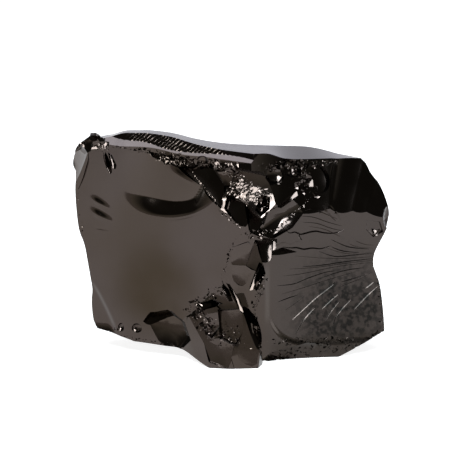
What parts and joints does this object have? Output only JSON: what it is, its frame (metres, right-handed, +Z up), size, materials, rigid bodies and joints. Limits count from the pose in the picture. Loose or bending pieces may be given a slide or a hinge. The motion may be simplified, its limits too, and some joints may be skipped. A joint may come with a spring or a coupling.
{
  "type": "shungite specimen",
  "caption": "Hand-sized lump of glassy black noble shungite with broad hollow fracture faces, a crushed spine between them and a stepped flat top.",
  "frame": {"origin": "under the middle of the stone, on the resting face", "axes": "+X from the left ridge to the right ridge as the main faces are seen, +Y from the spine to the back, +Z up from the resting face"},
  "size_m": [0.075, 0.0424, 0.052],
  "materials": {
    "shungite": "vitreous to semi-metallic black carbon rock, conchoidal fracture"
  },
  "bodies": {
    "root": {"stone": "shungite"}
  },
  "joints": []
}
